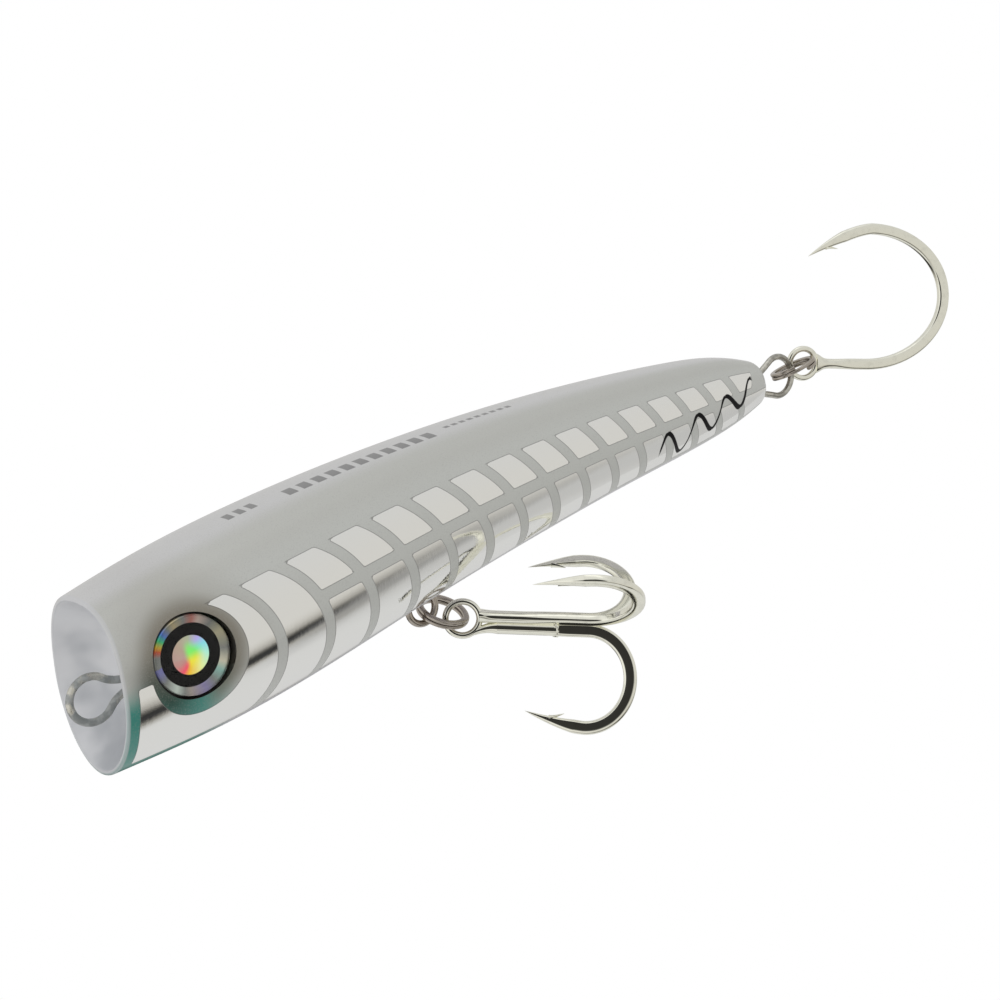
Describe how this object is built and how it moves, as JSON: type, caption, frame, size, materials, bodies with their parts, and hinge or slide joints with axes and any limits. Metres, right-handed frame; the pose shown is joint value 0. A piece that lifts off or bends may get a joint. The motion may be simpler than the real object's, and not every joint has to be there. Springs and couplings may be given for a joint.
{
  "type": "topwater popper",
  "caption": "Hollow surface popper lure with a cupped mouth, foil-panelled sides, recessed eyes, a belly treble hook and a single tail hook on split rings.",
  "frame": {"origin": "the seat of the line: the inner face of the nose loop's foremost wire, on the lure's middle plane", "axes": "+X forward out of the mouth, +Y to the lure's left, +Z to its back"},
  "size_m": [0.2513, 0.0574, 0.0782],
  "materials": {
    "painted_body": "silver-grey metallic airbrush with mirror foil side panels, under clear gloss",
    "stainless_wire": "drawn stainless wire, semi-bright",
    "nickel_ring": "dark nickel, semi-bright",
    "tinned_hook": "bright tinned steel",
    "eye_foil": "holographic foil with a dark ring",
    "eye_lens": "clear domed resin",
    "ballast": "plain slug",
    "rattle_steel": "polished ball"
  },
  "bodies": {
    "lure": {"left_shell": "painted_body", "right_shell": "painted_body", "through_wire": "stainless_wire", "belly_hanger": "stainless_wire", "left_eye_disc": "eye_foil", "right_eye_disc": "eye_foil", "left_eye_lens": "eye_lens", "right_eye_lens": "eye_lens", "belly_weight": "ballast", "tail_weight": "ballast"},
    "belly_ring": {"belly_split_ring": "nickel_ring"},
    "treble": {"treble_double_hook": "tinned_hook", "treble_third_hook": "tinned_hook"},
    "tail_ring": {"tail_split_ring": "nickel_ring"},
    "tail_hook": {"single_hook": "tinned_hook"},
    "rattle": {"rattle_ball": "rattle_steel"}
  },
  "joints": [
    {"name": "belly_ring_swing", "type": "hinge", "parent": "lure", "child": "belly_ring", "pos_m": [-0.08207, 0, -0.01435], "axis": [0.5281, 0, -0.8492], "range_deg": [-45, 25]},
    {"name": "treble_swing", "type": "hinge", "parent": "belly_ring", "child": "treble", "pos_m": [-0.08575, 0.00425, -0.01835], "axis": [-0.899, -0.431, -0.077], "range_deg": [-25, 60]},
    {"name": "tail_ring_swing", "type": "hinge", "parent": "lure", "child": "tail_ring", "pos_m": [-0.20137, 0, 0.00178], "axis": [0.025, 0, -0.9997], "range_deg": [-70, 70]},
    {"name": "tail_hook_swing", "type": "hinge", "parent": "tail_ring", "child": "tail_hook", "pos_m": [-0.20863, -0.00165, 0.00223], "axis": [0.106, -0.9662, -0.235], "range_deg": [-75, 75]},
    {"name": "rattle_roll", "type": "slide", "parent": "lure", "child": "rattle", "axis": [1, 0, 0], "range_m": [-0.0095, 0.0095]}
  ]
}
